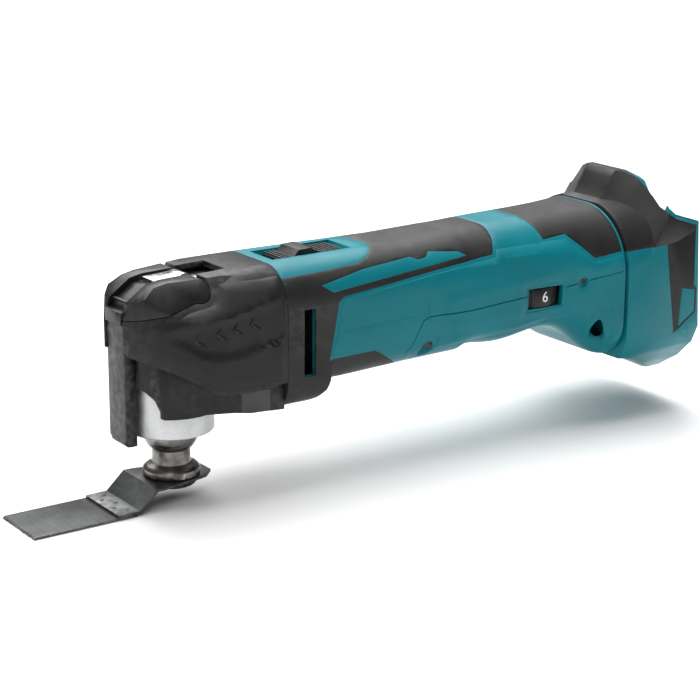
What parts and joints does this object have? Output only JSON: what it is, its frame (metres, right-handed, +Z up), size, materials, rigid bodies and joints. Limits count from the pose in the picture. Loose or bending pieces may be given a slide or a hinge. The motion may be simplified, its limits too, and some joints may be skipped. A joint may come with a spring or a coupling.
{
  "type": "oscillating multi-tool",
  "caption": "Cordless oscillating multi-tool with lever-clamped plunge saw blade, slide switch, speed dial and slide-on battery bay.",
  "frame": {"origin": "spindle axis at the seat that the blade is clamped against", "axes": "+X along the tool towards the battery bay, +Y to the side without the dial, +Z up, the blade leaves along -Z"},
  "size_m": [0.3721, 0.08, 0.1258],
  "materials": {
    "teal_housing": "satin moulded nylon",
    "black_cover": "satin moulded plastic",
    "black_rubber": "soft over-moulded rubber",
    "cast_aluminium": "blasted casting",
    "spindle_steel": "ground and oiled",
    "blade_steel": "dark coated sheet",
    "bright_steel": "polished",
    "black_steel": "black oxide",
    "lever_black": "satin powder coat",
    "lens": "smoked polycarbonate",
    "board": "printed circuit",
    "copper": "enamelled wire",
    "brass": "stamped",
    "carbon": "carbon graphite",
    "magnet": "sintered ferrite",
    "lead_insulation": "insulated lead",
    "dial_black": "ribbed moulding"
  },
  "bodies": {
    "housing": {"head_cover": "black_cover", "nose_cover": "black_cover", "gear_housing": "cast_aluminium", "motor_bracket": "cast_aluminium", "upper_housing": "teal_housing", "lower_housing": "teal_housing", "front_grip": "black_rubber", "under_grip": "black_rubber", "rear_grip": "black_rubber", "battery_housing": "teal_housing", "battery_bumper": "black_rubber", "side_panels": "black_cover", "side_badges": "teal_housing", "terminal_block": "black_cover", "terminal_blades": "brass", "damper_pads": "black_rubber", "side_pins": "black_steel", "led_lens": "lens", "led_board": "board", "lower_bearing": "bright_steel", "upper_bearing": "bright_steel", "dust_seal": "black_rubber", "gear_housing_screws": "bright_steel", "housing_screws": "black_steel", "lever_pin": "bright_steel", "motor_yoke": "bright_steel", "magnets": "magnet", "front_bearing": "bright_steel", "rear_bearing": "bright_steel", "motor_end_cap": "black_cover", "brush_holders": "brass", "carbon_brushes": "carbon", "brush_springs": "bright_steel", "fan_baffle": "black_cover", "switch_module": "black_cover", "dial_board": "board", "power_leads": "lead_insulation"},
    "rotor": {"motor_shaft": "bright_steel", "armature_core": "spindle_steel", "windings": "copper", "commutator": "copper", "fan": "black_cover", "eccentric_bearing": "bright_steel"},
    "spindle": {"spindle": "spindle_steel", "swing_fork": "spindle_steel"},
    "clamp": {"clamp_shaft": "bright_steel", "clamp_spring": "bright_steel"},
    "accessory": {"holder_bolt": "black_steel", "blade_mount": "blade_steel", "blade_plate": "blade_steel", "blade_rivets": "blade_steel"},
    "lever": {"clamp_lever": "lever_black", "lever_cam": "bright_steel"},
    "switch": {"switch_knob": "black_cover", "switch_link": "black_cover"},
    "dial": {"speed_dial": "dial_black"}
  },
  "joints": [
    {"name": "motor_spin", "type": "hinge", "parent": "housing", "child": "rotor", "pos_m": [0.09, 0, 0.066], "axis": [1, 0, 0], "continuous": true},
    {"name": "spindle_swing", "type": "hinge", "parent": "housing", "child": "spindle", "pos_m": [0, 0, 0.04], "axis": [0, 0, 1], "range_deg": [-1.6, 1.6]},
    {"name": "lever_open", "type": "hinge", "parent": "housing", "child": "lever", "pos_m": [0.004, 0, 0.0906], "axis": [0, 1, 0], "range_deg": [0, 90]},
    {"name": "clamp_release", "type": "slide", "parent": "spindle", "child": "clamp", "axis": [0, 0, -1], "range_m": [0, 0.0016], "deforming": ["clamp_spring"]},
    {"name": "accessory_out", "type": "slide", "parent": "clamp", "child": "accessory", "axis": [0, 0, -1], "range_m": [0, 0.045]},
    {"name": "switch_slide", "type": "slide", "parent": "housing", "child": "switch", "axis": [-1, 0, 0], "range_m": [0, 0.0055]},
    {"name": "dial_turn", "type": "hinge", "parent": "housing", "child": "dial", "pos_m": [0.1945, -0.0166, 0.062], "axis": [0, 0, 1], "range_deg": [0, 250]}
  ],
  "couplings": [
    {"joint": "clamp_release", "follows": "lever_open", "m_per_rad": 0.001018}
  ]
}
